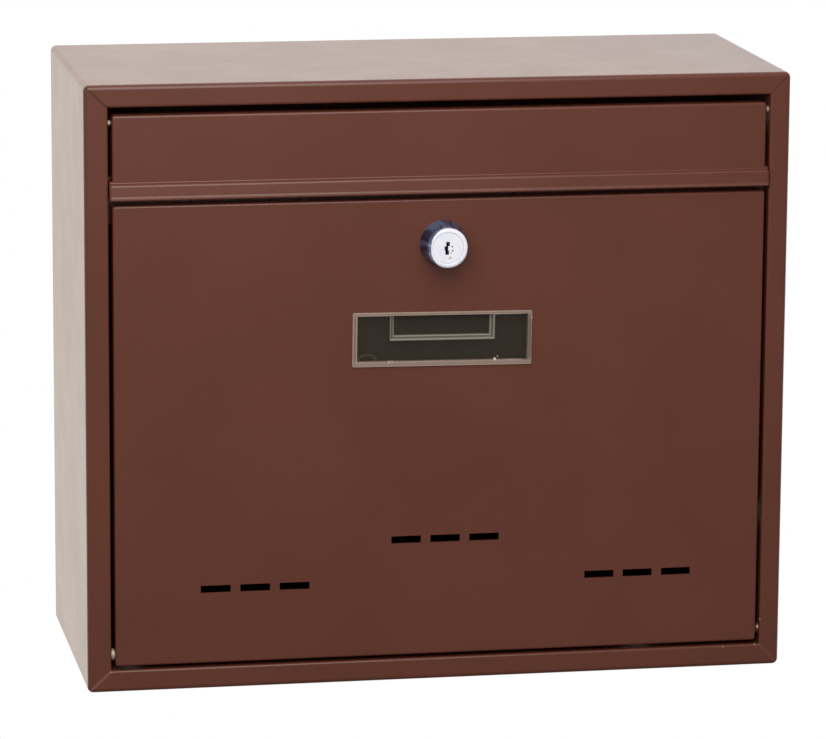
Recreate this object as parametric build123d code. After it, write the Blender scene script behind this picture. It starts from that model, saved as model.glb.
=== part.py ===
from build123d import *
import math
import os

# A wall mounted mailbox in folded sheet steel. Millimetres, +Z up, the front faces -Y.
# The origin is the centre of the back, on the wall. "Out" is a distance from the wall
# towards the front, so a point that is 150 out lies at y = -150.

# --- Cabinet ---------------------------------------------------------------------------
width = 360.0                # overall, left to right
height = 310.0               # overall, bottom to top
depth = 150.0                # wall to the front rim
sheet = 0.8                  # thickness of every folded sheet
corner_radius = 3.0          # upright and lying corners of the wrap, seen from the front
front_bend = 2.3             # outside radius where the wrap folds into the rim
rim_width = 11.3             # visible frame round the opening, on average
opening_shift = 0.8          # the opening's middle, right of the cabinet's
rim_bend = 1.3               # outside radius where the rim folds back inwards
lip_depth = 12.0             # how far the rim's inner fold reaches back
mitre_width = 0.35           # shallow seam across each corner of the rim
mitre_depth = 0.3
back_flange = 12.0           # upstand round the back panel, welded to the wrap
back_bend = 1.0
wall_hole_radius = 3.25      # for a 6 mm wall screw
wall_hole_from_side = 40.0
wall_hole_from_end = 45.0

# --- Hinges ----------------------------------------------------------------------------
side_gap = 2.0               # between the rim's inner fold and a leaf, each side
stop_gap = 0.5               # between a closed leaf's folds and the rail behind them
running_clearance = 0.05     # radial, round a pin or the lock's plug
pin_head_height = 1.4
pin_head_step = 0.6          # head's radius beyond the pin's
pin_round = 0.9              # rounding of both ends
pin_tail = 3.2               # pin length inside a leaf's side fold
leaf_bend = 1.2              # outside radius of the folds of the door and the flap
leaf_corner = 1.5            # corner radius of a leaf, seen from the front

# --- Flap over the mail slot -------------------------------------------------------------
flap_top_gap = 3.95
flap_drop = 42.45            # flap's top edge down to the tip of its pull lip
flap_axis_below_top = 4.3
flap_axis_inset = 5.0        # behind the front face
flap_pin_radius = 1.6
flap_heel_radius = 4.0       # clears the rim as the flap lifts
lip_overhang = 1.6           # how far the pull lip is wider than the flap, each side
lip_corner = 2.0             # lower corners of the lip, seen from the front
pull_curve = 0.7             # hollow bend that turns the flap outwards
pull_slope = 75.0            # degrees from upright, between that bend and the ridge
pull_ramp = 0.6              # straight length above that bend
pull_straight = 0.4          # straight length between that bend and the ridge
pull_ridge = 1.5             # rounding where the pull lip turns down again
pull_face = 6.4              # sloped length of the lip's face
pull_face_slope = 4.0
hem_slope = 42.0
hem_length = 1.3             # turned-out bottom edge
hem_bend = 1.6
cheek_depth = 6.0            # folded ends of the lip, behind the flap's front
cheek_rise = 1.6             # bottom of those ends, above the lip's tip
cheek_bend = 1.5
fold_overlap = 0.2           # where the lip's side bends run into its cheeks

# --- Door ------------------------------------------------------------------------------
flap_to_door_gap = 2.85
door_bottom_gap = 2.1
door_axis_above_bottom = 5.5
door_axis_inset = 4.5
door_pin_radius = 3.0

# --- Rail between the flap and the door ----------------------------------------------------
rail_height = 24.0
rail_below_door_top = 10.85  # the lock's cam catches behind this part
rail_flange = 10.0
rail_tab = 9.0               # end tabs, welded outside the rim's inner fold
rail_bend = 1.2

# --- Vent slots in the door ----------------------------------------------------------------
slot_length = 15.3
slot_height = 3.75
slot_pitch = 20.2
slots_in_group = 3
side_group_offset = 99.3     # each side group, from the middle between the two
side_groups_shift = 4.0      # that middle, right of the door's centre line
middle_group_shift = 2.5     # middle group, right of the door's centre line
side_group_rise = 38.6       # above the door's bottom edge
middle_group_rise = 60.6

# --- Name window ---------------------------------------------------------------------------
window_length = 92.2
window_height = 27.8
window_below_door_top = 71.65
window_shift = 0.2           # right of the door's centre line
window_turn = 0.6            # clockwise, as it was glued in
window_thickness = 1.0       # border standing on the door
window_side_border = 2.4
window_top_border = 1.6
window_bottom_border = 2.8
window_recess = 0.4          # field below the border
window_wall = 1.0
window_plug_depth = 4.5      # behind the door's front face
window_plug_overlap = 1.0    # border reaching past the cut-out
window_fit = 0.2
window_corner = 0.8
thumb_length = 53.3          # pocket for a thumb, at the field
thumb_height = 12.6
thumb_depth = 2.5
thumb_slope = 1.75
tray_wall = 2.2
tray_floor = 1.2
tray_depth = 6.4
tray_corner = 2.0

# --- Cam lock ------------------------------------------------------------------------------
lock_below_door_top = 23.05
lock_shift = 0.4             # right of the door's centre line
collar_height = 14.0
collar_base_radius = 12.0
collar_face_radius = 10.0
collar_foot = 0.9            # straight part of the collar, next to the door
collar_edge = 1.5            # rounding of its face
face_chamfer = 0.35          # on the plug's face and on the collar's bore
barrel_radius = 9.5
barrel_flat = 8.2            # half the distance across the barrel's two flats
plug_front_radius = 7.8
plug_front_length = 3.0
plug_radius = 6.6
plug_recess = 0.3            # plug's face below the collar's
plug_square = 8.0
keyway_depth = 18.0
keyway_height = 6.6
keyway_width = 1.9
keyway_jog = 0.85
keyway_shift = 0.6           # left of the plug's middle
wafer_count = 5
wafer_pitch = 2.6
wafer_first = 5.0            # first wafer, behind the plug's face
wafer_thickness = 0.9
wafer_width = 6.0
wafer_height = 11.6
wafer_window_width = 4.0
wafer_window_height = 7.6
wafer_play = 0.1
nut_across_flats = 23.0
nut_height = 5.0
nut_face_inset = 0.3         # the chamfer starts this far inside the flats
tooth_washer_radius = 12.0
tooth_washer_thickness = 0.8
tooth_count = 14
tooth_depth = 1.3
stop_thickness = 1.1
stop_radius = 9.0
stop_root_radius = 7.4
stop_lug_angle = 20.0
stop_free_angle = 2.0        # left over at each end of the quarter turn
lock_turn = 90.0             # degrees
cam_to_rail_gap = 0.8
cam_thickness = 2.0
cam_reach = 24.0             # lock's centre to the cam's tip
cam_hub_radius = 8.5
cam_tip_width = 11.0
square_fit = 0.1
cam_washer_radius = 6.5
cam_washer_thickness = 1.0
screw_radius = 2.5
screw_length = 6.5           # beyond the washer
screw_head_radius = 4.8
screw_head_height = 2.9
screw_chamfer = 0.7
screw_slot_width = 1.2
screw_slot_depth = 1.5

# --- Places worked out from the sizes above ----------------------------------------------------
opening_width = width - 2 * rim_width
opening_height = height - 2 * rim_width
opening_top = opening_height / 2
opening_bottom = -opening_height / 2
return_depth = lip_depth - stop_gap
leaf_width = opening_width - 2 * side_gap
lip_back = depth - lip_depth

flap_top = opening_top - flap_top_gap
flap_bottom = flap_top - flap_drop
flap_axis_z = flap_top - flap_axis_below_top
flap_axis_out = depth - flap_axis_inset
lip_width = leaf_width + 2 * lip_overhang

door_top = flap_bottom - flap_to_door_gap
door_bottom = opening_bottom + door_bottom_gap
door_height = door_top - door_bottom
door_middle = (door_top + door_bottom) / 2
door_axis_z = door_bottom + door_axis_above_bottom
door_axis_out = depth - door_axis_inset

rail_bottom = door_top - rail_below_door_top
rail_top = rail_bottom + rail_height

lock_z = door_top - lock_below_door_top
collar_face = depth + collar_height
plug_face = collar_face - plug_recess
cam_front = lip_back - sheet - cam_to_rail_gap
cam_back = cam_front - cam_thickness
stop_front = cam_front + stop_thickness
barrel_end = stop_front + running_clearance

window_z = door_top - window_below_door_top
cutout_length = window_length - 2 * window_plug_overlap
cutout_height = window_height - 2 * window_plug_overlap

cut_margin = 1.0             # how far a cutting shape runs past what it cuts


# --- Helpers -------------------------------------------------------------------------------
def slab(sketch, back, front):
    """The solid of a sketch seen from the front, between two distances out from the wall."""
    return extrude(Plane.XZ.offset(back) * sketch, front - back)


def round_front(block, radius):
    """Round the edges all round a block's front face."""
    front = block.faces().sort_by(Axis.Y)[0]
    return fillet(front.edges(), radius)


def side_slab(face, half_width):
    """The solid of a face in the plane x = 0, widened to both sides."""
    return extrude(face, half_width, both=True)


def lathe(points):
    """A turned piece on the lock's axis. Points are (radius, out)."""
    outline = [(radius, -out) for radius, out in points]
    turned = revolve(make_face(Polyline(*outline, close=True)), Axis.Y, 360)
    return Pos(lock_shift, 0, lock_z) * turned


# --- Cabinet -------------------------------------------------------------------------------
def mitre_seams():
    """Thin bars across the rim's four corners, to be cut from its face."""
    seams = []
    for side in (-1, 1):
        for end in (-1, 1):
            across = side * (width - opening_width) / 2 - opening_shift
            along = end * rim_width
            middle = Pos(side * width / 2 - across / 2, end * height / 2 - along / 2)
            turn = math.degrees(math.atan2(along, across))
            seams.append(middle * Rot(0, 0, turn) * Rectangle(math.hypot(across, along), mitre_width))
    return [slab(seam, depth - mitre_depth, depth + cut_margin) for seam in seams]


def pin_holes(axis_z, axis_out, radius):
    """One long cylinder that bores both sides for a pair of hinge pins."""
    bore = Cylinder(radius, width - 2 * sheet - cut_margin, rotation=(0, 90, 0))
    return Pos(0, -axis_out, axis_z) * bore


def make_cabinet_shell():
    outer = slab(RectangleRounded(width, height, corner_radius), 0, depth)
    outer = round_front(outer, front_bend)
    inner_corner = corner_radius - sheet
    inner_sketch = RectangleRounded(width - 2 * sheet, height - 2 * sheet, inner_corner)
    inner = slab(inner_sketch, -cut_margin, depth - sheet)
    inner = round_front(inner, front_bend - sheet)
    spot = Pos(opening_shift, 0)
    lip_sketch = spot * Rectangle(opening_width + 2 * sheet, opening_height + 2 * sheet)
    lip = slab(lip_sketch, lip_back, depth - sheet)
    opening_sketch = spot * Rectangle(opening_width, opening_height)
    opening = slab(opening_sketch, lip_back - cut_margin, depth + cut_margin)
    shell = outer - inner + lip - opening
    rim_edges = shell.edges().filter_by_position(Axis.Y, -depth, -depth)
    inner_edges = [
        edge for edge in rim_edges
        if abs(edge.center().X - opening_shift) < opening_width / 2 + rim_bend
        and abs(edge.center().Z) < opening_height / 2 + rim_bend
    ]
    shell = fillet(inner_edges, rim_bend)
    for seam in mitre_seams():
        shell -= seam
    shell -= pin_holes(flap_axis_z, flap_axis_out, flap_pin_radius)
    shell -= pin_holes(door_axis_z, door_axis_out, door_pin_radius)
    return shell


def make_back_panel():
    inside_width = width - 2 * sheet
    inside_height = height - 2 * sheet
    outer = slab(RectangleRounded(inside_width, inside_height, corner_radius - sheet), 0, back_flange)
    back_face = outer.faces().sort_by(Axis.Y)[-1]
    outer = fillet(back_face.edges(), back_bend)
    hollow = Rectangle(inside_width - 2 * sheet, inside_height - 2 * sheet)
    panel = outer - slab(hollow, sheet, back_flange + cut_margin)
    hole_x = width / 2 - wall_hole_from_side
    hole_z = height / 2 - wall_hole_from_end
    for side in (-1, 1):
        for end in (-1, 1):
            hole = Pos(side * hole_x, end * hole_z) * Circle(wall_hole_radius)
            panel -= slab(hole, -cut_margin, sheet + cut_margin)
    return panel


def make_cross_rail():
    """Upright web behind the leaves, folded back along its top, with a tab at each end."""
    half_web = opening_width / 2 + 2 * sheet
    middle_out = lip_back - sheet / 2
    web_line = [
        Vector(0, -middle_out, rail_bottom),
        Vector(0, -middle_out, rail_top - sheet / 2),
        Vector(0, -(lip_back - rail_flange), rail_top - sheet / 2),
    ]
    path = FilletPolyline(*web_line, radius=rail_bend - sheet / 2)
    half_flange = opening_width / 2
    section = Plane.YZ * trace(Plane.YZ.to_local_coords(path), sheet)
    rail = side_slab(section, half_flange)
    for side in (-1, 1):
        end_length = half_web - half_flange
        end_web = Pos(side * (half_flange + end_length / 2), rail_bottom + rail_height / 2)
        tab_height = rail_height - 2 * rail_bend
        rail += slab(end_web * Rectangle(end_length, tab_height), lip_back - sheet, lip_back)
        tab_spot = Pos(side * (half_web - sheet / 2), rail_bottom + rail_height / 2)
        rail += slab(tab_spot * Rectangle(sheet, tab_height), lip_back - sheet, lip_back + rail_tab)
    return rail


# --- Hinge pins ------------------------------------------------------------------------------
def make_hinge_pin(side, axis_z, axis_out, radius):
    """A pin riveted into the rim's inner fold, with a round head outboard and a round tip."""
    tip_x = leaf_width / 2 - sheet - pin_tail
    head_x = opening_width / 2 + sheet
    shank = Cylinder(radius, head_x - tip_x, rotation=(0, 90, 0))
    head = Cylinder(radius + pin_head_step, pin_head_height, rotation=(0, 90, 0))
    pin = Pos((head_x + tip_x) / 2, 0, 0) * shank + Pos(head_x + pin_head_height / 2, 0, 0) * head
    ends = pin.edges().group_by(Axis.X)
    pin = fillet(ends[-1] + ends[0], pin_round)
    return Pos(0, -axis_out, axis_z) * Rot(0, 0, 0 if side > 0 else 180) * pin


# --- Flap ------------------------------------------------------------------------------------
def polar(length, slope):
    """A step down and outwards, with the slope in degrees from upright."""
    turn = math.radians(slope)
    return length * math.sin(turn), -length * math.cos(turn)


def pull_line():
    """Corners of the flap's outside where it leaves the flat, seen from its side: y and z."""
    curve_reach = pull_curve * math.tan(math.radians(pull_slope / 2))
    ridge_reach = pull_ridge * math.tan(math.radians((pull_slope - pull_face_slope) / 2))
    steps = [
        (0.0, -(pull_ramp + curve_reach)),
        polar(curve_reach + pull_straight + ridge_reach, pull_slope),
        polar(pull_face, pull_face_slope),
        polar(hem_length, hem_slope),
    ]
    fall = sum(step[1] for step in steps)
    hem_under = sheet * math.sin(math.radians(hem_slope))
    y, z = -depth, flap_bottom + hem_under - fall
    corners = [(y, z)]
    for out_step, z_step in steps:
        y, z = y - out_step, z + z_step
        corners.append((y, z))
    return corners


def shift_line(corners, distance):
    """The corners of a line that runs beside another, on the side towards the wall."""
    sides = []
    for start, end in zip(corners, corners[1:]):
        length = math.dist(start, end)
        sides.append(((start[1] - end[1]) / length, (end[0] - start[0]) / length))
    shifted = []
    for index, corner in enumerate(corners):
        before = sides[max(index - 1, 0)]
        after = sides[min(index, len(sides) - 1)]
        share = distance / (1 + before[0] * after[0] + before[1] * after[1])
        shift_y = (before[0] + after[0]) * share
        shift_z = (before[1] + after[1]) * share
        shifted.append((corner[0] + shift_y, corner[1] + shift_z))
    return shifted


def make_flap_tray(lowest_z):
    """The flap's flat part: a shallow tray, open below and behind."""
    spot = Pos(0, (flap_top + lowest_z) / 2)
    block = slab(spot * Rectangle(leaf_width, flap_top - lowest_z), depth - return_depth, depth)
    heel = block.edges().filter_by(Axis.X).group_by(Axis.Z)[-1].sort_by(Axis.Y)[-1]
    block = fillet(heel, flap_heel_radius)
    corners = block.edges().filter_by(Axis.Y).group_by(Axis.Z)[-1]
    block = fillet(corners, leaf_corner)
    front = block.faces().sort_by(Axis.Y)[0]
    block = fillet([edge for edge in front.edges() if edge.center().Z > lowest_z + sheet], leaf_bend)
    hollow_top = flap_top - sheet
    hollow_bottom = lowest_z - cut_margin
    hollow_spot = Pos(0, (hollow_top + hollow_bottom) / 2)
    hollow_sketch = hollow_spot * Rectangle(leaf_width - 2 * sheet, hollow_top - hollow_bottom)
    return block - slab(hollow_sketch, depth - return_depth - cut_margin, depth - sheet)


def make_pull_lip(corners):
    """The sheet below the flat, with its side bends, swept down the lip's profile."""
    leg = leaf_bend + fold_overlap
    outside = Pos(0, leg / 2) * Rectangle(lip_width, leg)
    outside = fillet(outside.vertices().group_by(Axis.Y)[0], leaf_bend)
    section = outside - Pos(0, leg / 2 + sheet) * Rectangle(lip_width - 2 * sheet, leg)
    start_y, start_z = corners[0]
    line = FilletPolyline(*corners, radius=[pull_curve, pull_ridge, hem_bend])
    return sweep(Pos(0, start_y, start_z) * section, path=Plane.YZ * line)


def make_flap_cheek(corners):
    """The flat fold at one end of the flap, closing the end of the lip: a face at x = 0."""
    edge_corners = shift_line(corners, leaf_bend)
    edge_radii = [pull_curve + leaf_bend, pull_ridge - leaf_bend, hem_bend + leaf_bend]
    edge_line = FilletPolyline(*edge_corners, radius=edge_radii)
    edge_start, edge_end = edge_corners[0], edge_corners[-1]
    back_y = -(depth - cheek_depth)
    cheek_z = flap_bottom + cheek_rise
    back_top = (back_y, edge_start[1])
    fold = FilletPolyline(edge_end, (-depth, cheek_z), (back_y, cheek_z), back_top, radius=cheek_bend)
    top = Line(back_top, edge_start)
    return make_face(edge_line.edges() + fold.edges() + [top])


def make_flap_panel():
    corners = pull_line()
    flap = make_flap_tray(corners[0][1]) + make_pull_lip(corners)
    cheek = extrude(Plane.YZ * make_flap_cheek(corners), sheet)
    flap += Pos(lip_width / 2 - sheet, 0, 0) * cheek
    flap += Pos(-lip_width / 2, 0, 0) * cheek
    outline_height = flap_drop + lip_corner
    outline_spot = Pos(0, flap_bottom + outline_height / 2)
    flap &= slab(outline_spot * RectangleRounded(lip_width, outline_height, lip_corner), 0, collar_face)
    return flap - pin_holes(flap_axis_z, flap_axis_out, flap_pin_radius + running_clearance)


# --- Door ------------------------------------------------------------------------------------
def slot_spots():
    """Where each vent slot's middle is on the door, three groups in a shallow arch."""
    groups = [
        (side_groups_shift - side_group_offset, side_group_rise),
        (middle_group_shift, middle_group_rise),
        (side_groups_shift + side_group_offset, side_group_rise),
    ]
    spots = []
    for group_x, rise in groups:
        for number in range(slots_in_group):
            along = (number - (slots_in_group - 1) / 2) * slot_pitch
            spots.append(Pos(group_x + along, door_bottom + rise))
    return spots


def lock_outline(radius, flat):
    """A round with two upright flats, which keeps the lock from turning in the door."""
    return Circle(radius) & Rectangle(2 * flat, 2 * radius)


def make_door_panel():
    spot = Pos(0, door_middle)
    block = slab(spot * RectangleRounded(leaf_width, door_height, leaf_corner), depth - return_depth, depth)
    block = round_front(block, leaf_bend)
    hollow = spot * Rectangle(leaf_width - 2 * sheet, door_height - 2 * sheet)
    door = block - slab(hollow, depth - return_depth - cut_margin, depth - sheet)
    cuts = [spot * Rectangle(slot_length, slot_height) for spot in slot_spots()]
    cuts.append(Pos(lock_shift, lock_z) * lock_outline(barrel_radius, barrel_flat))
    window_spot = Pos(window_shift, window_z) * Rot(0, 0, -window_turn)
    cuts.append(window_spot * RectangleRounded(cutout_length, cutout_height, window_corner))
    for cut in cuts:
        door -= slab(cut, depth - sheet - cut_margin, depth + cut_margin)
    return door - pin_holes(door_axis_z, door_axis_out, door_pin_radius + running_clearance)


# --- Name window -------------------------------------------------------------------------------
def window_place():
    """Where the window and its tray sit: a little to the right and slightly turned."""
    return Pos(window_shift, 0, window_z) * Rot(0, window_turn, 0)


def make_name_window():
    """Clear moulded cover: a border on the door, a plug through it and a thumb pocket."""
    face_out = depth + window_thickness
    field_out = face_out - window_recess
    plug_back = depth - window_plug_depth
    plug_length = cutout_length - 2 * window_fit
    plug_height = cutout_height - 2 * window_fit
    field_length = window_length - 2 * window_side_border
    field_height = window_height - window_top_border - window_bottom_border
    field_middle = (window_bottom_border - window_top_border) / 2
    skin_back = field_out - window_wall

    border = slab(RectangleRounded(window_length, window_height, window_corner), depth, face_out)
    border = round_front(border, window_recess / 2)
    window = border + slab(RectangleRounded(plug_length, plug_height, window_corner), plug_back, depth)
    field = Pos(0, field_middle) * Rectangle(field_length, field_height)
    window -= slab(field, field_out, face_out + cut_margin)
    hollow = Rectangle(plug_length - 2 * window_wall, plug_height - 2 * window_wall)
    window -= slab(hollow, plug_back - cut_margin, skin_back)

    pocket_top = field_middle + field_height / 2
    floor_out = field_out - thumb_depth
    lining = thumb_block(window_wall, pocket_top, field_out - window_wall / 2, floor_out - window_wall)
    window += lining
    window -= thumb_block(0, pocket_top, field_out, floor_out)
    return window_place() * window


def thumb_block(grow, pocket_top, mouth_out, floor_out):
    """A tapered block that hangs from the window's top border, for the pocket or its lining."""
    mouth = Rectangle(thumb_length + 2 * grow, thumb_height + grow, align=(Align.CENTER, Align.MAX))
    floor_length = thumb_length - 2 * thumb_slope + 2 * grow
    floor = Rectangle(floor_length, thumb_height - thumb_slope + grow, align=(Align.CENTER, Align.MAX))
    top = Pos(0, pocket_top)
    return loft([Plane.XZ.offset(mouth_out) * top * mouth, Plane.XZ.offset(floor_out) * top * floor])


def make_card_tray():
    """Dark cap that slips over the window's plug from inside the door and holds the card."""
    plug_length = cutout_length - 2 * window_fit
    plug_height = cutout_height - 2 * window_fit
    front_out = depth - sheet
    back_out = front_out - tray_depth
    outer = RectangleRounded(plug_length + 2 * tray_wall, plug_height + 2 * tray_wall, tray_corner)
    tray = slab(outer, back_out, front_out)
    tray -= slab(Rectangle(plug_length, plug_height), back_out + tray_floor, front_out + cut_margin)
    return window_place() * tray


# --- Cam lock ----------------------------------------------------------------------------------
def make_lock_housing():
    collar = lathe([
        (0, depth), (collar_base_radius, depth), (collar_base_radius, depth + collar_foot),
        (collar_face_radius, collar_face), (0, collar_face),
    ])
    collar = fillet(collar.edges().sort_by(Axis.Y)[0], collar_edge)
    barrel = slab(lock_outline(barrel_radius, barrel_flat), barrel_end, depth)
    housing = collar + Pos(lock_shift, 0, lock_z) * barrel
    shoulder = collar_face - plug_front_length
    bore_radius = plug_front_radius + running_clearance
    housing -= lathe([
        (0, barrel_end - cut_margin), (plug_radius + running_clearance, barrel_end - cut_margin),
        (plug_radius + running_clearance, shoulder), (bore_radius, shoulder),
        (bore_radius, collar_face - face_chamfer), (bore_radius + face_chamfer, collar_face),
        (bore_radius + face_chamfer, collar_face + cut_margin), (0, collar_face + cut_margin),
    ])
    return housing + make_stop_lug()


def ring_sector(inner_radius, outer_radius, middle_angle, spread):
    """A sector of a ring seen from the front, with angles in degrees from +X."""
    reach = 2 * outer_radius
    half = math.radians(spread / 2)
    fan = Polyline(
        (0, 0), (reach * math.cos(half), -reach * math.sin(half)),
        (reach * math.cos(half), reach * math.sin(half)), close=True,
    )
    ring = Circle(outer_radius) - Circle(inner_radius)
    return ring & (Rot(0, 0, middle_angle) * make_face(fan))


def make_stop_lug():
    """The short lug on the barrel's end that limits the lock to a quarter turn."""
    lug = ring_sector(stop_root_radius + running_clearance, barrel_flat, stop_lug_angle / 2, stop_lug_angle)
    return Pos(lock_shift, 0, lock_z) * slab(lug, stop_front - stop_thickness / 2, barrel_end + sheet)


def make_lock_plug():
    """The part the key turns: a shouldered core with a keyway, wafer slots and a square tail."""
    shoulder = collar_face - plug_front_length + running_clearance
    plug = lathe([
        (0, stop_front), (plug_radius, stop_front), (plug_radius, shoulder),
        (plug_front_radius, shoulder), (plug_front_radius, plug_face - face_chamfer),
        (plug_front_radius - face_chamfer, plug_face), (0, plug_face),
    ])
    tail_end = cam_back + square_fit
    middle = Pos(lock_shift, lock_z)
    plug += slab(middle * Rectangle(plug_square, plug_square), tail_end, stop_front)
    plug -= slab(middle * Circle(screw_radius), tail_end - cut_margin, cam_back + screw_length + square_fit)
    third = keyway_height / 3
    keyway = Sketch()
    for step, jog in ((1, keyway_jog / 2), (0, -keyway_jog / 2), (-1, 0)):
        keyway += Pos(jog - keyway_shift, step * third) * Rectangle(keyway_width, third)
    plug -= slab(middle * keyway, plug_face - keyway_depth, plug_face + cut_margin)
    for back in wafer_backs():
        slot = Rectangle(wafer_width + 2 * wafer_play, 2 * plug_radius + cut_margin)
        plug -= slab(middle * slot, back, back + wafer_thickness + wafer_play)
    return plug


def wafer_backs():
    """How far out each wafer's back face is."""
    first = plug_face - wafer_first - wafer_thickness
    return [first - number * wafer_pitch for number in range(wafer_count)]


def make_lock_wafers():
    wafer = Rectangle(wafer_width, wafer_height) - Rectangle(wafer_window_width, wafer_window_height)
    return [slab(Pos(lock_shift, lock_z) * wafer, back, back + wafer_thickness) for back in wafer_backs()]


def make_tooth_washer():
    """Internal toothed washer between the door and the nut."""
    inner = barrel_radius + running_clearance
    washer = Circle(tooth_washer_radius) - Circle(inner)
    gap_width = math.pi * (inner + tooth_depth) / tooth_count
    for number in range(tooth_count):
        notch_spot = Pos(inner + (tooth_depth - cut_margin) / 2, 0)
        notch = notch_spot * Rectangle(tooth_depth + cut_margin, gap_width)
        washer -= Rot(0, 0, (number + 0.5) * 360 / tooth_count) * notch
    front = depth - sheet
    return slab(Pos(lock_shift, lock_z) * washer, front - tooth_washer_thickness, front)


def make_lock_nut():
    """Hexagon nut with both faces chamfered, screwed on the barrel."""
    front = depth - sheet - tooth_washer_thickness
    back = front - nut_height
    hexagon = RegularPolygon(nut_across_flats / 2, 6, major_radius=False)
    nut = slab(Pos(lock_shift, lock_z) * (hexagon - Circle(barrel_radius)), back, front)
    face_radius = nut_across_flats / 2 - nut_face_inset
    corner_reach = nut_across_flats / math.sqrt(3) + cut_margin
    slope = (corner_reach - face_radius) / math.sqrt(3)
    envelope = lathe([
        (0, back), (face_radius, back), (corner_reach, back + slope),
        (corner_reach, front - slope), (face_radius, front), (0, front),
    ])
    return nut & envelope


def make_lock_stop():
    """Disc on the plug's square, with a free sector for the barrel's lug."""
    spread = stop_lug_angle + lock_turn + 2 * stop_free_angle
    disc = Circle(stop_radius) - Rectangle(plug_square + square_fit, plug_square + square_fit)
    middle_angle = (stop_lug_angle + lock_turn) / 2
    disc -= ring_sector(stop_root_radius, stop_radius + cut_margin, middle_angle, spread)
    return slab(Pos(lock_shift, lock_z) * disc, cam_front, stop_front)


def make_lock_cam():
    """Flat cam that lies sideways when the lock is open and stands up behind the rail when shut."""
    arm = Polyline(
        (0, cam_hub_radius), (-cam_reach, cam_tip_width / 2),
        (-cam_reach, -cam_tip_width / 2), (0, -cam_hub_radius), close=True,
    )
    arm = make_face(arm)
    arm = fillet(arm.vertices().group_by(Axis.X)[0], cam_tip_width / 4)
    cam = arm + Circle(cam_hub_radius)
    cam -= Rectangle(plug_square + square_fit, plug_square + square_fit)
    return slab(Pos(lock_shift, lock_z) * cam, cam_back, cam_front)


def make_cam_washer():
    ring = Circle(cam_washer_radius) - Circle(screw_radius + square_fit)
    return slab(Pos(lock_shift, lock_z) * ring, cam_back - cam_washer_thickness, cam_back)


def make_cam_screw():
    """Slotted cheese-head screw into the plug's tail."""
    head_front = cam_back - cam_washer_thickness
    head_back = head_front - screw_head_height
    tip = cam_back + screw_length
    screw = lathe([
        (0, head_back), (screw_head_radius - screw_chamfer, head_back),
        (screw_head_radius, head_back + screw_chamfer), (screw_head_radius, head_front),
        (screw_radius, head_front), (screw_radius, tip - screw_chamfer),
        (screw_radius - screw_chamfer, tip), (0, tip),
    ])
    slot = Rectangle(2 * screw_head_radius + cut_margin, screw_slot_width)
    slot_end = head_back + screw_slot_depth
    return screw - slab(Pos(lock_shift, lock_z) * slot, head_back - cut_margin, slot_end)


# --- Every piece, by the name of its node --------------------------------------------------------
def make_opening_parts():
    """The pieces in and behind the opening, drawn with the middle of the opening at x = 0."""
    return {
        "cross_rail": make_cross_rail(),
        "flap_pin_left": make_hinge_pin(-1, flap_axis_z, flap_axis_out, flap_pin_radius),
        "flap_pin_right": make_hinge_pin(1, flap_axis_z, flap_axis_out, flap_pin_radius),
        "door_pin_left": make_hinge_pin(-1, door_axis_z, door_axis_out, door_pin_radius),
        "door_pin_right": make_hinge_pin(1, door_axis_z, door_axis_out, door_pin_radius),
        "flap_panel": make_flap_panel(),
        "door_panel": make_door_panel(),
        "name_window": make_name_window(),
        "card_tray": make_card_tray(),
        "lock_housing": make_lock_housing(),
        "tooth_washer": make_tooth_washer(),
        "lock_nut": make_lock_nut(),
        "lock_plug": make_lock_plug(),
        "lock_wafers": Compound(make_lock_wafers()),
        "lock_stop": make_lock_stop(),
        "lock_cam": make_lock_cam(),
        "cam_washer": make_cam_washer(),
        "cam_screw": make_cam_screw(),
    }


def make_parts():
    parts = {"cabinet_shell": make_cabinet_shell(), "back_panel": make_back_panel()}
    for node, shape in make_opening_parts().items():
        parts[node] = Pos(opening_shift, 0, 0) * shape
    return parts


os.makedirs("parts", exist_ok=True)
for node, shape in make_parts().items():
    export_step(shape, f"parts/{node}.step")
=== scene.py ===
import bpy
import math
from mathutils import Matrix, Vector

# A wall mounted mailbox in brown coated steel. Metres; the front faces -Y and the origin is
# the centre of its back, on the wall. The CAD nodes hold every shape, so this script adds
# the camera, the light, a floor and each node's material, and no piece of its own.

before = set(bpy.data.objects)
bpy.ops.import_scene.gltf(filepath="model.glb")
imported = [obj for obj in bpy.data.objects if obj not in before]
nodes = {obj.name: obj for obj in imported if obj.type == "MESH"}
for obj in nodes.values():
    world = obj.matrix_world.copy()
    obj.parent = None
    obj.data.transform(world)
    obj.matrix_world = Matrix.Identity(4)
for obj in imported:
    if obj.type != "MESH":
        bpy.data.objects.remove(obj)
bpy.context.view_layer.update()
bpy.ops.object.select_all(action="DESELECT")

# --- Camera ------------------------------------------------------------------------------
# Angles in degrees, places in metres, and lens and sensor in millimetres.
AZIMUTH = -10.53
ELEVATION = 11.64
ROLL = 0.37
DISTANCE = 2.367
TARGET = Vector((-0.0139, -0.150, 0.00725))
LENS = 204.2
SENSOR = 36


def direction(azimuth, elevation):
    """Unit vector from the box, with azimuth 0 straight out of its front and 90 at its right."""
    a, e = math.radians(azimuth), math.radians(elevation)
    return Vector((math.sin(a) * math.cos(e), -math.cos(a) * math.cos(e), math.sin(e)))


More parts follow.
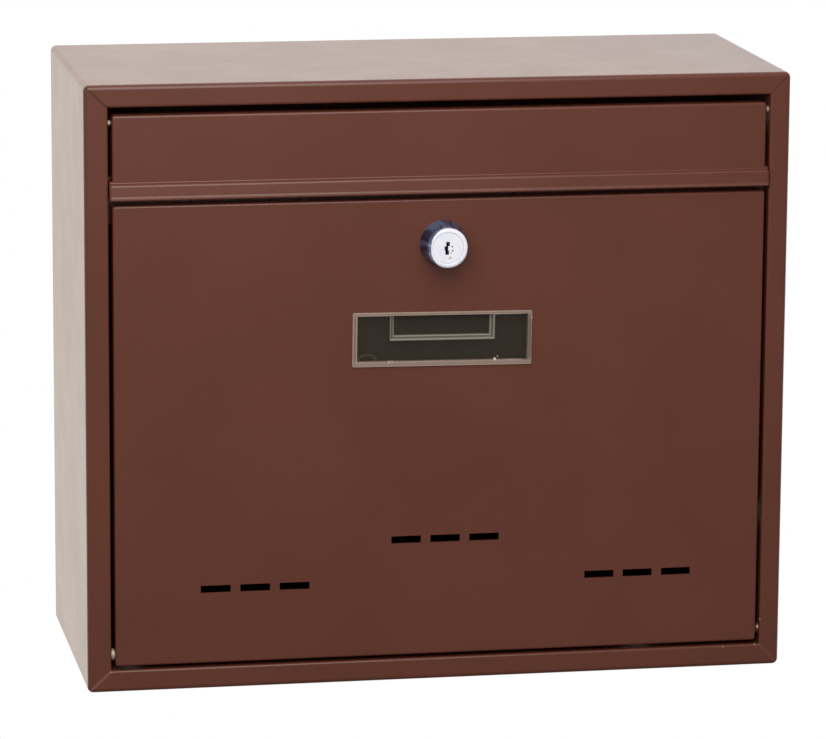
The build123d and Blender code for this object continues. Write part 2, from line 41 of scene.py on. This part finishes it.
def place_camera():
    """A camera that looks at TARGET from DISTANCE away, turned by ROLL about the way it looks."""
    roll = math.radians(ROLL)
    back = direction(AZIMUTH, ELEVATION)
    right = Vector((0, 0, 1)).cross(back).normalized()
    up = back.cross(right)
    turned_right = math.cos(roll) * right + math.sin(roll) * up
    turned_up = math.cos(roll) * up - math.sin(roll) * right
    turn = Matrix((turned_right, turned_up, back)).transposed()
    lens = bpy.data.cameras.new("camera")
    lens.lens = LENS
    lens.sensor_width = SENSOR
    camera = bpy.data.objects.new("camera", lens)
    camera.matrix_world = Matrix.Translation(TARGET + DISTANCE * back) @ turn.to_4x4()
    bpy.context.scene.collection.objects.link(camera)
    bpy.context.scene.camera = camera


place_camera()
bpy.context.scene.view_settings.view_transform = "Standard"


# --- Node helpers ------------------------------------------------------------------------
def srgb(red, green, blue):
    """A colour given as 0 to 255 on a screen, as the linear colour that a shader takes."""
    def linear(value):
        share = value / 255
        return share / 12.92 if share <= 0.04045 else ((share + 0.055) / 1.055) ** 2.4
    return (linear(red), linear(green), linear(blue), 1)


class Shader:
    """A small wrapper that adds nodes to one tree and links them."""

    def __init__(self, tree):
        self.tree = tree

    def add(self, kind, **settings):
        made = self.tree.nodes.new(kind)
        for key, value in settings.items():
            setattr(made, key, value)
        return made

    def put(self, socket, value):
        """Link an output, or set a plain value, on an input socket."""
        if hasattr(value, "is_output"):
            self.tree.links.new(value, socket)
        else:
            socket.default_value = value

    def math(self, operation, first, second=0.0, third=0.0):
        made = self.add("ShaderNodeMath", operation=operation)
        for socket, value in zip(made.inputs, (first, second, third)):
            self.put(socket, value)
        return made.outputs[0]

    def plus(self, first, second):
        return self.math("ADD", first, second)

    def minus(self, first, second):
        return self.math("SUBTRACT", first, second)

    def times(self, first, second):
        return self.math("MULTIPLY", first, second)

    def over(self, first, second):
        return self.math("DIVIDE", first, second)

    def lesser(self, first, second):
        return self.math("MINIMUM", first, second)

    def greater(self, first, second):
        return self.math("MAXIMUM", first, second)

    def square(self, value):
        return self.math("POWER", value, 2.0)

    def size(self, value):
        return self.math("ABSOLUTE", value)

    def dot(self, first, second):
        made = self.add("ShaderNodeVectorMath", operation="DOT_PRODUCT")
        self.put(made.inputs[0], first)
        self.put(made.inputs[1], second)
        return made.outputs["Value"]

    def ramp(self, value, start, end, low=0.0, high=1.0, smooth=True):
        """Low up to start and high from end on, with a smooth or a straight way between."""
        kind = "SMOOTHSTEP" if smooth else "LINEAR"
        made = self.add("ShaderNodeMapRange", interpolation_type=kind)
        for socket, item in zip(made.inputs, (value, start, end, low, high)):
            self.put(socket, item)
        return made.outputs["Result"]

    def mix(self, factor, first, second, blend="MIX"):
        made = self.add("ShaderNodeMix", data_type="RGBA", blend_type=blend)
        self.put(made.inputs["Factor"], factor)
        self.put(made.inputs[6], first)
        self.put(made.inputs[7], second)
        return made.outputs[2]

    def noise(self, vector, scale, detail, roughness=0.5):
        made = self.add("ShaderNodeTexNoise")
        self.put(made.inputs["Vector"], vector)
        made.inputs["Scale"].default_value = scale
        made.inputs["Detail"].default_value = detail
        made.inputs["Roughness"].default_value = roughness
        return made.outputs["Fac"]

    def bump(self, height, strength, distance, normal=None):
        made = self.add("ShaderNodeBump")
        self.put(made.inputs["Height"], height)
        made.inputs["Strength"].default_value = strength
        made.inputs["Distance"].default_value = distance
        if normal is not None:
            self.put(made.inputs["Normal"], normal)
        return made.outputs["Normal"]

    def grain(self, place, scale, detail, strength, distance, normal=None):
        """Noise as a bump of so many metres, on top of an earlier bump if one is given."""
        return self.bump(self.noise(place, scale, detail), strength, distance, normal)


def new_material(name):
    """A material, a wrapper round its nodes, and its Principled BSDF."""
    material = bpy.data.materials.new(name)
    material.use_nodes = True
    return material, Shader(material.node_tree), material.node_tree.nodes["Principled BSDF"]


# --- Light and floor ---------------------------------------------------------------------
# A pale studio: bright behind the box and dimmer in front of it, with one soft lamp above
# and a little to the left.
BEHIND = (1.17, 1.16, 1.21, 1)
IN_FRONT = (0.36, 0.35, 0.335, 1)
STRAIGHT_OUT = (0, -1, 0)
# How far a way points out of the front, from -1 to 1, where the dimmer light starts and is full.
FRONT_STARTS = -0.45
FRONT_FULL = 0.05
SKY_PATCHES = [
    # azimuth, elevation, inner and outer angle, light added or taken away
    (25, -28, 14, 44, (-0.30, -0.30, -0.29, 0)),
    (180, 75, 10, 45, (-0.70, -0.68, -0.65, 0)),
    (-30, 70, 10, 40, (0.55, 0.54, 0.52, 0)),
    (-170, -10, 12, 50, (0.27, 0.19, 0.01, 0)),
]
WHITE = (1, 1, 1, 1)
LAMP_PLACE = (-0.17, -0.86, 0.53)
LAMP_AIM = Vector((-0.02, -0.15, 0.05))
LAMP_WIDTH = 0.78
LAMP_HEIGHT = 0.80
LAMP_POWER = 6.6
LAMP_COLOUR = (1.0, 0.985, 0.96)
FLOOR_HEIGHT = -1.2
FLOOR_RADIUS = 3.0
# The floor as it passes light on to the box, and as the camera sees it.
FLOOR_TONES = (srgb(128, 126, 123), srgb(228, 226, 224))


def make_world():
    """The studio's light from all round, with plain white where the camera sees past the box."""
    world = bpy.data.worlds.new("studio")
    bpy.context.scene.world = world
    world.use_nodes = True
    shader = Shader(world.node_tree)
    background = world.node_tree.nodes["Background"]
    way = shader.add("ShaderNodeTexCoord").outputs["Generated"]
    outwards = shader.ramp(shader.dot(way, STRAIGHT_OUT), FRONT_STARTS, FRONT_FULL)
    studio = shader.mix(outwards, BEHIND, IN_FRONT)
    for azimuth, elevation, inner, outer, added in SKY_PATCHES:
        cosine = shader.dot(way, direction(azimuth, elevation))
        near = shader.ramp(cosine, math.cos(math.radians(outer)), math.cos(math.radians(inner)))
        studio = shader.mix(near, studio, added, "ADD")
    path = shader.add("ShaderNodeLightPath")
    seen = shader.greater(path.outputs["Is Camera Ray"], path.outputs["Is Transmission Ray"])
    shader.put(background.inputs["Color"], shader.mix(seen, studio, WHITE))


def make_lamp():
    """One large soft lamp above and a little to the left."""
    data = bpy.data.lights.new("softbox", "AREA")
    data.shape = "RECTANGLE"
    data.size = LAMP_WIDTH
    data.size_y = LAMP_HEIGHT
    data.energy = LAMP_POWER
    data.color = LAMP_COLOUR
    lamp = bpy.data.objects.new("softbox", data)
    lamp.location = LAMP_PLACE
    lamp.rotation_euler = (LAMP_AIM - lamp.location).to_track_quat("-Z", "Y").to_euler()
    bpy.context.scene.collection.objects.link(lamp)


def make_floor():
    """A round floor below the box, which is scenery and no part of it."""
    bpy.ops.mesh.primitive_circle_add(
        vertices=64, radius=FLOOR_RADIUS, fill_type="NGON", location=(0, 0, FLOOR_HEIGHT))
    floor = bpy.context.object
    floor.name = "floor"
    material, shader, surface = new_material("floor")
    seen = shader.add("ShaderNodeLightPath").outputs["Is Camera Ray"]
    shader.put(surface.inputs["Base Color"], shader.mix(seen, *FLOOR_TONES))
    surface.inputs["Roughness"].default_value = 0.9
    floor.data.materials.append(material)


make_world()
make_lamp()
make_floor()


# --- Finishes ----------------------------------------------------------------------------
# Places and lengths below are in millimetres, except noise scales, which go with metres, and
# the distances of bumps, which are in metres.
def axes(shader):
    """The object's own coordinates: as a vector in metres, then as x, y and z in millimetres."""
    place = shader.add("ShaderNodeTexCoord").outputs["Object"]
    split = shader.add("ShaderNodeSeparateXYZ")
    shader.put(split.inputs[0], place)
    return place, [shader.times(out, 1000) for out in split.outputs]


# A round mark is at its strength out to this share of its radius squared, and fades from there.
SPOT_CORE = 0.3


def spots(shader, across, rise, places):
    """Round marks at (across, rise, radius, strength) as one mask."""
    mask = 0.0
    for spot_across, spot_rise, radius, strength in places:
        across_part = shader.square(shader.minus(across, spot_across))
        rise_part = shader.square(shader.minus(rise, spot_rise))
        away = shader.plus(across_part, rise_part)
        edge = radius * radius
        spot = shader.ramp(away, edge, SPOT_CORE * edge, 0.0, strength)
        mask = shader.greater(mask, spot)
    return mask


# The front rim: the box's half sizes, half the width of its opening and how far that stands
# right of the middle, the rim's width above and below, and the y that its faces lie before.
HALF_WIDTH = 180.0
HALF_TALL = 155.0
HALF_OPENING = 168.7
OPENING_X = 0.8
RIM_WIDTH = 11.3
RIM_FACE = -149.0
# The mitre seams, whose tones are painted light: the distance from a seam when the shares of the
# rim crossed sideways and upright differ by 1, the distances at which a seam is gone and is full,
# and its strength at the left and at the right, weaker on the right, further from the lamp.
SEAM_UNIT = 8.0
SEAM_EDGE = 0.9
SEAM_CORE = 0.2
SEAM_LEFT = 0.8
SEAM_RIGHT = 0.3
# The seams change from left to right and from low to high within this distance of the middle.
MIDDLE = 1.0
# The seams' painted light: a pale painted highlight on the lower seams, then painted shade in the
# upper ones.
SEAM_HIGHLIGHT_AND_SHADE = (srgb(142, 98, 84), srgb(76, 34, 24))
COAT_TONES = (srgb(98, 50, 36), srgb(102, 53, 39))
COAT_FLECK = srgb(85, 46, 33)
FLECK_STRENGTH = 0.25
BARE_CHIP = srgb(205, 186, 176)
CHIPS = [
    # x, z, radius and strength of small chips in the coat round the opening
    (169.7, -130.6, 0.55, 0.45),
    (150.3, -144.4, 0.55, 0.30),
    (167.3, -143.9, 0.60, 0.35),
]
COAT_ROUGHNESS = (0.27, 0.29)
COAT_IOR = 1.5


def coat_seams(shader, x, z):
    """A mask of the four mitre seams, which run from the box's corners to its opening's."""
    left_width = HALF_WIDTH - HALF_OPENING + OPENING_X
    right_width = HALF_WIDTH - HALF_OPENING - OPENING_X
    from_left = shader.over(shader.plus(x, HALF_WIDTH), left_width)
    from_right = shader.over(shader.minus(HALF_WIDTH, x), right_width)
    sideways = shader.lesser(from_left, from_right)
    upright = shader.over(shader.minus(HALF_TALL, shader.size(z)), RIM_WIDTH)
    off_seam = shader.times(shader.size(shader.minus(sideways, upright)), SEAM_UNIT)
    in_rim = shader.math("LESS_THAN", sideways, 1.0)
    seam = shader.times(shader.ramp(off_seam, SEAM_EDGE, SEAM_CORE), in_rim)
    return shader.times(seam, shader.ramp(x, -MIDDLE, MIDDLE, SEAM_LEFT, SEAM_RIGHT))


def make_coat():
    """Semi-gloss powder coat: slightly mottled, flecked and chipped, with painted highlight and
    shade on its mitre seams and a fine orange peel.
    """
    material, shader, surface = new_material("brown_coat")
    place, (x, y, z) = axes(shader)
    mottle = shader.ramp(shader.noise(place, scale=14, detail=3), start=0.35, end=0.65)
    fleck = shader.noise(place, scale=900, detail=2)
    fleck = shader.ramp(fleck, start=0.3, end=0.7, high=FLECK_STRENGTH)
    colour = shader.mix(mottle, *COAT_TONES)
    colour = shader.mix(fleck, colour, COAT_FLECK)
    front = shader.math("LESS_THAN", y, RIM_FACE)
    # Painted light on the seams: pale painted highlights on the lower two, painted shade in the
    # upper two.
    painted_seam_light = shader.mix(shader.ramp(z, -MIDDLE, MIDDLE), *SEAM_HIGHLIGHT_AND_SHADE)
    colour = shader.mix(shader.times(coat_seams(shader, x, z), front), colour, painted_seam_light)
    colour = shader.mix(shader.times(spots(shader, x, z, CHIPS), front), colour, BARE_CHIP)
    shader.put(surface.inputs["Base Color"], colour)
    gloss = shader.ramp(shader.noise(place, scale=35, detail=2), 0.3, 0.7, *COAT_ROUGHNESS)
    shader.put(surface.inputs["Roughness"], gloss)
    surface.inputs["IOR"].default_value = COAT_IOR
    peel = shader.grain(place, scale=420, detail=1.5, strength=0.07, distance=0.0004)
    peel = shader.grain(place, 1700, 1.0, strength=0.05, distance=0.0002, normal=peel)
    shader.put(surface.inputs["Normal"], peel)
    return material


ZINC_TONES = (srgb(236, 232, 222), srgb(203, 199, 190))
ZINC_METALLIC = 0.75
ZINC_ROUGHNESS = (0.28, 0.42)
# The hinge pins: a dark tone, painted shade over most of each pin, and a pale bare metal tone, a
# painted highlight on its glint; how metallic that is, and their roughness.
PIN_SHADE_AND_GLINT_TONES = (srgb(62, 34, 25), srgb(186, 168, 148))
PIN_METALLIC = 0.4
PIN_ROUGHNESS = (0.50, 0.58)
PIN_GLINT_OVALS = [
    # x and z of the middle, half length and half height of the bare metal ovals on the hinge pins,
    # set on their glints as a painted highlight
    (-167.0, 136.4, 0.65, 2.2),
    (169.0, 136.2, 0.70, 2.3),
    (-166.9, -135.9, 0.95, 3.4),
    (168.9, -134.9, 0.50, 0.9),
]
# Where a painted glint oval ends and where it is all bare, with 1 on the oval itself.
GLINT_EDGE = 1.0
GLINT_CORE = 0.7


def glint_ovals(shader, x, z):
    """A mask of the bare metal ovals that paint a highlight on the hinge pins' glints."""
    glint = 0.0
    for middle_x, middle_z, half_length, half_height in PIN_GLINT_OVALS:
        sideways = shader.over(shader.minus(x, middle_x), half_length)
        upright = shader.over(shader.minus(z, middle_z), half_height)
        oval = shader.math("MULTIPLY_ADD", sideways, sideways, shader.times(upright, upright))
        glint = shader.greater(glint, shader.ramp(oval, GLINT_EDGE, GLINT_CORE))
    return glint


def make_zinc(name, shade_and_glints=False):
    """Zinc plate with dull spots or, for the pins, dark painted shade with bare ovals as painted
    glints.
    """
    material, shader, surface = new_material(name)
    place, (x, _, z) = axes(shader)
    dull = shader.ramp(shader.noise(place, scale=350, detail=4), start=0.35, end=0.7)
    if shade_and_glints:
        # The pins: bare metal ovals as a painted highlight on their glints, and dark painted shade
        # elsewhere.
        glint = glint_ovals(shader, x, z)
        colour = shader.mix(glint, *PIN_SHADE_AND_GLINT_TONES)
        shader.put(surface.inputs["Metallic"], shader.times(glint, PIN_METALLIC))
        roughness = PIN_ROUGHNESS
    else:
        colour = shader.mix(dull, *ZINC_TONES)
        surface.inputs["Metallic"].default_value = ZINC_METALLIC
        roughness = ZINC_ROUGHNESS
    shader.put(surface.inputs["Roughness"], shader.ramp(dull, 0.0, 1.0, *roughness))
    shader.put(surface.inputs["Base Color"], colour)
    grain = shader.grain(place, scale=2500, detail=2, strength=0.15, distance=0.0001)
    shader.put(surface.inputs["Normal"], grain)
    return material


# The lock: its axis, its foremost face, the door's face, and its barrel's radius.
LOCK_X = 1.2
LOCK_Z = 71.4
LOCK_FACE = -164.0
DOOR_FACE = -150.0
BARREL_RADIUS = 9.5
# How far under the barrel's radius the thread fades in, and is full.
THREAD_STARTS = 0.5
THREAD_FULL = 0.1
THREAD_PITCH = 1.0
THREAD_DEPTH = 0.0008
# The satin face ends at an oval, whose middle stands right of the lock's, so that the side's dark
# painted reflection reaches over the face's left rim, and a little behind the foremost face: the
# oval's half sizes, how it fades, with 1 on the oval itself, and the depths behind the face
# between which it ends.
SATIN_SHIFT = 0.45
SATIN_HALF_WIDTH = 9.3
SATIN_HALF_HEIGHT = 10.5
SATIN_EDGE = (0.96, 1.04)
SATIN_DEPTH = (0.6, 1.3)
FACE_TONES = (srgb(246, 246, 255), srgb(234, 236, 254))
# The polished side, toned as painted reflections: dark with paler streaks, turning pale between
# two depths behind the face, most of all on a streak, and plain from a little behind the door's
# own face.
SIDE_REFLECTION_TONES = (srgb(32, 44, 92), srgb(106, 132, 176))
PALE_SIDE_REFLECTION = srgb(200, 216, 255)
PALE_DEPTH = (4.5, 1.2)
PALE_STRENGTH = (0.35, 0.85)
PLAIN_SIDE = srgb(206, 206, 208)
PLAIN_DEPTH = (0.3, 0.5)
# How much the depth counts in the painted reflection streaks: next to nothing, so that they run
# along the lock.
STREAK_STRETCH = 0.02
STREAK_EDGE = (0.44, 0.60)
SIDE_METALLIC = 0.7
LOCK_ROUGHNESS = (0.40, 0.14)
KEY_MARK = srgb(84, 84, 92)
KEY_MARKS = [
    # right and up of the lock's middle, radius and strength of scratches round the keyway
    (2.0, 0.8, 0.60, 0.9),
    (2.2, -1.2, 0.70, 0.8),
    (1.4, -2.4, 0.45, 0.6),
    (1.1, -4.7, 0.75, 0.5),
    (0.4, -5.1, 0.60, 0.4),
]


def lock_side_mask(shader, y, right, up):
    """Nothing on the lock's satin face and full on its side."""
    oval_right = shader.square(shader.over(shader.minus(right, SATIN_SHIFT), SATIN_HALF_WIDTH))
    oval_up = shader.square(shader.over(up, SATIN_HALF_HEIGHT))
    outside_oval = shader.ramp(shader.plus(oval_right, oval_up), *SATIN_EDGE)
    start, end = SATIN_DEPTH
    behind_face = shader.ramp(y, LOCK_FACE + start, LOCK_FACE + end)
    return shader.greater(behind_face, outside_oval)


def lock_side_reflections(shader, y, turn, behind_door):
    """Painted reflections: streaks along the lock's side, which turn pale towards the face."""
    streak_place = shader.add("ShaderNodeCombineXYZ")
    shader.put(streak_place.inputs[0], shader.math("COSINE", turn))
    shader.put(streak_place.inputs[1], shader.math("SINE", turn))
    shader.put(streak_place.inputs[2], shader.times(y, STREAK_STRETCH))
    reflection_streaks = shader.noise(streak_place.outputs[0], scale=2.9, detail=1.5, roughness=0.45)
    reflection_streaks = shader.ramp(reflection_streaks, *STREAK_EDGE)
    start, end = PALE_DEPTH
    by_face = shader.ramp(y, LOCK_FACE + start, LOCK_FACE + end)
    by_face = shader.times(by_face, shader.ramp(reflection_streaks, 0.0, 1.0, *PALE_STRENGTH))
    tone = shader.mix(by_face, shader.mix(reflection_streaks, *SIDE_REFLECTION_TONES), PALE_SIDE_REFLECTION)
    return shader.mix(behind_door, tone, PLAIN_SIDE)


def make_chrome():
    """The lock: a satin face, a polished side in painted reflections and a threaded barrel behind
    the door.
    """
    material, shader, surface = new_material("lock_chrome")
    place, (x, y, z) = axes(shader)
    right = shader.minus(x, LOCK_X)
    up = shader.minus(z, LOCK_Z)
    radius = shader.math("POWER", shader.plus(shader.square(right), shader.square(up)), 0.5)
    turn = shader.math("ARCTAN2", up, right)
    start, end = PLAIN_DEPTH
    behind_door = shader.ramp(y, DOOR_FACE + start, DOOR_FACE + end, smooth=False)
    satin = shader.ramp(shader.noise(place, scale=260, detail=3), start=0.35, end=0.7)
    face_tone = shader.mix(satin, *FACE_TONES)
    face_tone = shader.mix(spots(shader, right, up, KEY_MARKS), face_tone, KEY_MARK)
    # The side's dark and pale streaks are painted reflections, over its real metallic gloss.
    side_reflections = lock_side_reflections(shader, y, turn, behind_door)
    side = lock_side_mask(shader, y, right, up)
    shader.put(surface.inputs["Base Color"], shader.mix(side, face_tone, side_reflections))
    shader.put(surface.inputs["Metallic"], shader.ramp(side, 0.0, 1.0, 0.0, SIDE_METALLIC))
    shader.put(surface.inputs["Roughness"], shader.ramp(side, 0.0, 1.0, *LOCK_ROUGHNESS))
    start, end = BARREL_RADIUS - THREAD_STARTS, BARREL_RADIUS - THREAD_FULL
    on_barrel = shader.ramp(radius, start, end, smooth=False)
    helix = shader.math("MULTIPLY_ADD", turn, THREAD_PITCH / math.tau, y)
    ridge = shader.math("PINGPONG", helix, THREAD_PITCH / 2)
    thread = shader.times(ridge, shader.times(behind_door, on_barrel))
    normal = shader.bump(thread, strength=1.0, distance=THREAD_DEPTH)
    normal = shader.grain(place, 1500, 2, strength=0.08, distance=0.0001, normal=normal)
    shader.put(surface.inputs["Normal"], normal)
    return material


BRASS_TONES = (srgb(206, 172, 98), srgb(168, 136, 78))
BRASS_ROUGHNESS = (0.25, 0.4)


def make_brass():
    """Stamped brass with dull patches and a fine grain."""
    material, shader, surface = new_material("wafer_brass")
    place, _ = axes(shader)
    wear = shader.ramp(shader.noise(place, scale=500, detail=3), start=0.35, end=0.7)
    shader.put(surface.inputs["Base Color"], shader.mix(wear, *BRASS_TONES))
    surface.inputs["Metallic"].default_value = 1.0
    shader.put(surface.inputs["Roughness"], shader.ramp(wear, 0.0, 1.0, *BRASS_ROUGHNESS))
    grain = shader.grain(place, scale=3000, detail=2, strength=0.15, distance=0.0001)
    shader.put(surface.inputs["Normal"], grain)
    return material


# The window's middle, its turn in degrees, its half sizes, and the widths of its border.
WINDOW_X = 1.0
WINDOW_Z = 22.8
WINDOW_TURN = 0.6
HALF_LENGTH = 46.1
HALF_HEIGHT = 13.9
SIDE_BORDER = 2.15
TOP_BORDER = 1.6
BOTTOM_BORDER = 2.4
# The thumb pocket's mouth and its floor: half widths, lower ends, and an upper end past the window.
POCKET_HALF = 26.65
POCKET_FLOOR_HALF = 24.9
POCKET_END = -0.3
POCKET_FLOOR_END = 1.45
POCKET_TOP = HALF_HEIGHT + 5
# The border's tones are painted light on the hazy plastic: paler on the left, top and bottom,
# darker on the right. Where the border's left tone turns into its right one, and both into those
# above and below.
TO_RIGHT = (38.0, 44.0)
TO_TOP = (10.0, 12.5)
TO_BOTTOM = (-10.0, -12.0)
LEFT_BORDER_LIGHT = srgb(142, 114, 103)
RIGHT_BORDER_LIGHT = srgb(126, 100, 88)
TOP_BORDER_LIGHT = srgb(148, 131, 118)
BOTTOM_BORDER_LIGHT = srgb(154, 133, 124)
FIELD_TONE = srgb(57, 49, 38)
# Pale lines round the window's edge, round its field and round the pocket, painted highlights
# that fade to the right: half widths, the share of them in which a line is full, tones, and
# strengths, which fall to the right and where the plastic is hazy.
EDGE_LINE = 0.85
INNER_LINE = 0.55
LINE_CORE = 0.35
HIGHLIGHT_LINE_TONE = srgb(176, 154, 140)
HIGHLIGHT_LINE_STRENGTH = (1.0, 0.4)
LINE_HAZE = (0.7, 1.0)
POCKET_HIGHLIGHT_TONE = srgb(136, 131, 119)
POCKET_STRENGTH = 0.72
# Half the width over which the field and the pocket's wall fade out.
SOFT = 0.1
# Pale spots, and fainter in their tone the pocket's wall between its mouth and floor as a painted
# highlight.
MARK_TONE = srgb(225, 216, 200)
WALL_STRENGTH = 0.3
WINDOW_MARKS = [
    # across and up from the window's middle, radius and strength of pale spots
    (-27.3, -11.5, 0.70, 0.6),
    (27.2, -10.9, 0.85, 1.0),
    (28.6, -9.6, 0.5, 0.6),
    (46.3, 10.2, 0.9, 1.0),
    (-25.6, -11.2, 0.45, 0.7),
]
# A faint flow line in the moulding, as an oval round a point by the window's lower left corner,
# and how far off it, with 1 from the oval to its middle, the line is gone and is full.
FLOW_ACROSS = -38.5
FLOW_RISE = -11.0
FLOW_WIDTH = 4.6
FLOW_HEIGHT = 3.4
FLOW_EDGE = (0.5, 0.1)
FLOW_STRENGTH = 0.3
FLOW_TONE = srgb(136, 108, 78)
# Opacity of the window's field and of everything else on it.
WINDOW_ALPHA = (0.22, 0.85)
WINDOW_ROUGHNESS = 0.12
WINDOW_IOR = 1.49


def flow_line(shader, across, rise):
    """A mask of the oval flow line."""
    away = shader.square(shader.over(shader.minus(across, FLOW_ACROSS), FLOW_WIDTH))
    above = shader.square(shader.over(shader.minus(rise, FLOW_RISE), FLOW_HEIGHT))
    off_line = shader.size(shader.minus(shader.plus(away, above), 1.0))
    return shader.ramp(off_line, *FLOW_EDGE)


def make_clear():
    """Clear moulded plastic: see-through in its field, hazy in its border with painted light, and
    painted highlights along its edges.
    """
    material, shader, surface = new_material("clear_plastic")
    place, (x, _, z) = axes(shader)
    cosine = math.cos(math.radians(WINDOW_TURN))
    sine = math.sin(math.radians(WINDOW_TURN))
    right = shader.minus(x, WINDOW_X)
    up = shader.minus(z, WINDOW_Z)
    across = shader.math("MULTIPLY_ADD", right, cosine, shader.times(up, -sine))
    rise = shader.math("MULTIPLY_ADD", right, sine, shader.times(up, cosine))
    reach = shader.size(across)

    def inside(half, low, high):
        """Distance to the nearest side of a box on the window's axis, positive inside."""
        near = shader.lesser(shader.minus(half, reach), shader.minus(high, rise))
        return shader.lesser(near, shader.minus(rise, low))

    def line(distance, width):
        """A soft painted highlight line along a box's sides, of this half width."""
        return shader.ramp(shader.size(distance), width, width * LINE_CORE)

    field_low = BOTTOM_BORDER - HALF_HEIGHT
    field = inside(HALF_LENGTH - SIDE_BORDER, field_low, HALF_HEIGHT - TOP_BORDER)
    edge = inside(HALF_LENGTH, -HALF_HEIGHT, HALF_HEIGHT)
    mouth = inside(POCKET_HALF, POCKET_END, POCKET_TOP)
    floor = inside(POCKET_FLOOR_HALF, POCKET_FLOOR_END, POCKET_TOP)
    in_field = shader.ramp(field, -SOFT, SOFT, smooth=False)
    border = shader.minus(1.0, in_field)
    # Painted highlights round the window's edge and field, fading to the right, and round the
    # pocket.
    lines = shader.greater(line(edge, EDGE_LINE), line(field, INNER_LINE))
    lines = shader.times(lines, shader.ramp(across, *TO_RIGHT, *HIGHLIGHT_LINE_STRENGTH))
    pocket = shader.greater(line(mouth, INNER_LINE), line(floor, INNER_LINE))
    pocket = shader.times(pocket, in_field)
    # A faint painted highlight on the pocket's wall, and pale spots by its lower corners and the
    # window's upper right corner.
    wall = shader.times(shader.ramp(mouth, -SOFT, SOFT), shader.ramp(floor, SOFT, -SOFT))
    marks = shader.times(shader.times(wall, in_field), WALL_STRENGTH)
    marks = shader.greater(marks, spots(shader, across, rise, WINDOW_MARKS))
    flow = shader.times(shader.times(flow_line(shader, across, rise), in_field), FLOW_STRENGTH)

    # The border's painted light: paler on the left, top and bottom, darker on the right.
    border_light = shader.mix(shader.ramp(across, *TO_RIGHT), LEFT_BORDER_LIGHT, RIGHT_BORDER_LIGHT)
    border_light = shader.mix(shader.ramp(rise, *TO_TOP), border_light, TOP_BORDER_LIGHT)
    border_light = shader.mix(shader.ramp(rise, *TO_BOTTOM), border_light, BOTTOM_BORDER_LIGHT)
    haze = shader.ramp(shader.noise(place, scale=300, detail=3), 0.3, 0.7, *LINE_HAZE)
    colour = shader.mix(border, FIELD_TONE, border_light)
    colour = shader.mix(shader.times(pocket, POCKET_STRENGTH), colour, POCKET_HIGHLIGHT_TONE)
    colour = shader.mix(shader.times(lines, haze), colour, HIGHLIGHT_LINE_TONE)
    colour = shader.mix(marks, colour, MARK_TONE)
    colour = shader.mix(flow, colour, FLOW_TONE)
    shader.put(surface.inputs["Base Color"], colour)

    solid = shader.greater(shader.greater(pocket, flow), marks)
    solid = shader.greater(shader.greater(lines, border), solid)
    alpha = shader.ramp(solid, 0.0, 1.0, *WINDOW_ALPHA, smooth=False)
    shader.put(surface.inputs["Alpha"], alpha)
    surface.inputs["Roughness"].default_value = WINDOW_ROUGHNESS
    surface.inputs["IOR"].default_value = WINDOW_IOR
    return material


TRAY_TONES = (srgb(54, 45, 35), srgb(47, 41, 32))
TRAY_ROUGHNESS = 0.55


def make_dark():
    """Matt dark moulded plastic."""
    material, shader, surface = new_material("dark_plastic")
    place, _ = axes(shader)
    tone = shader.ramp(shader.noise(place, scale=120, detail=3), start=0.35, end=0.65)
    shader.put(surface.inputs["Base Color"], shader.mix(tone, *TRAY_TONES))
    surface.inputs["Roughness"].default_value = TRAY_ROUGHNESS
    grain = shader.grain(place, scale=900, detail=2, strength=0.2, distance=0.0002)
    shader.put(surface.inputs["Normal"], grain)
    return material


coat = make_coat()
zinc = make_zinc("zinc_steel")
pin_zinc = make_zinc("pin_zinc", shade_and_glints=True)
chrome = make_chrome()
brass = make_brass()
clear = make_clear()
dark = make_dark()

FINISHES = {
    coat: ["cabinet_shell", "back_panel", "cross_rail", "flap_panel", "door_panel"],
    pin_zinc: ["flap_pin_left", "flap_pin_right", "door_pin_left", "door_pin_right"],
    zinc: ["tooth_washer", "lock_nut", "lock_stop", "lock_cam", "cam_washer", "cam_screw"],
    chrome: ["lock_housing", "lock_plug"],
    brass: ["lock_wafers"],
    clear: ["name_window"],
    dark: ["card_tray"],
}
for material, names in FINISHES.items():
    for name in names:
        mesh = nodes[name].data
        mesh.materials.clear()
        mesh.materials.append(material)
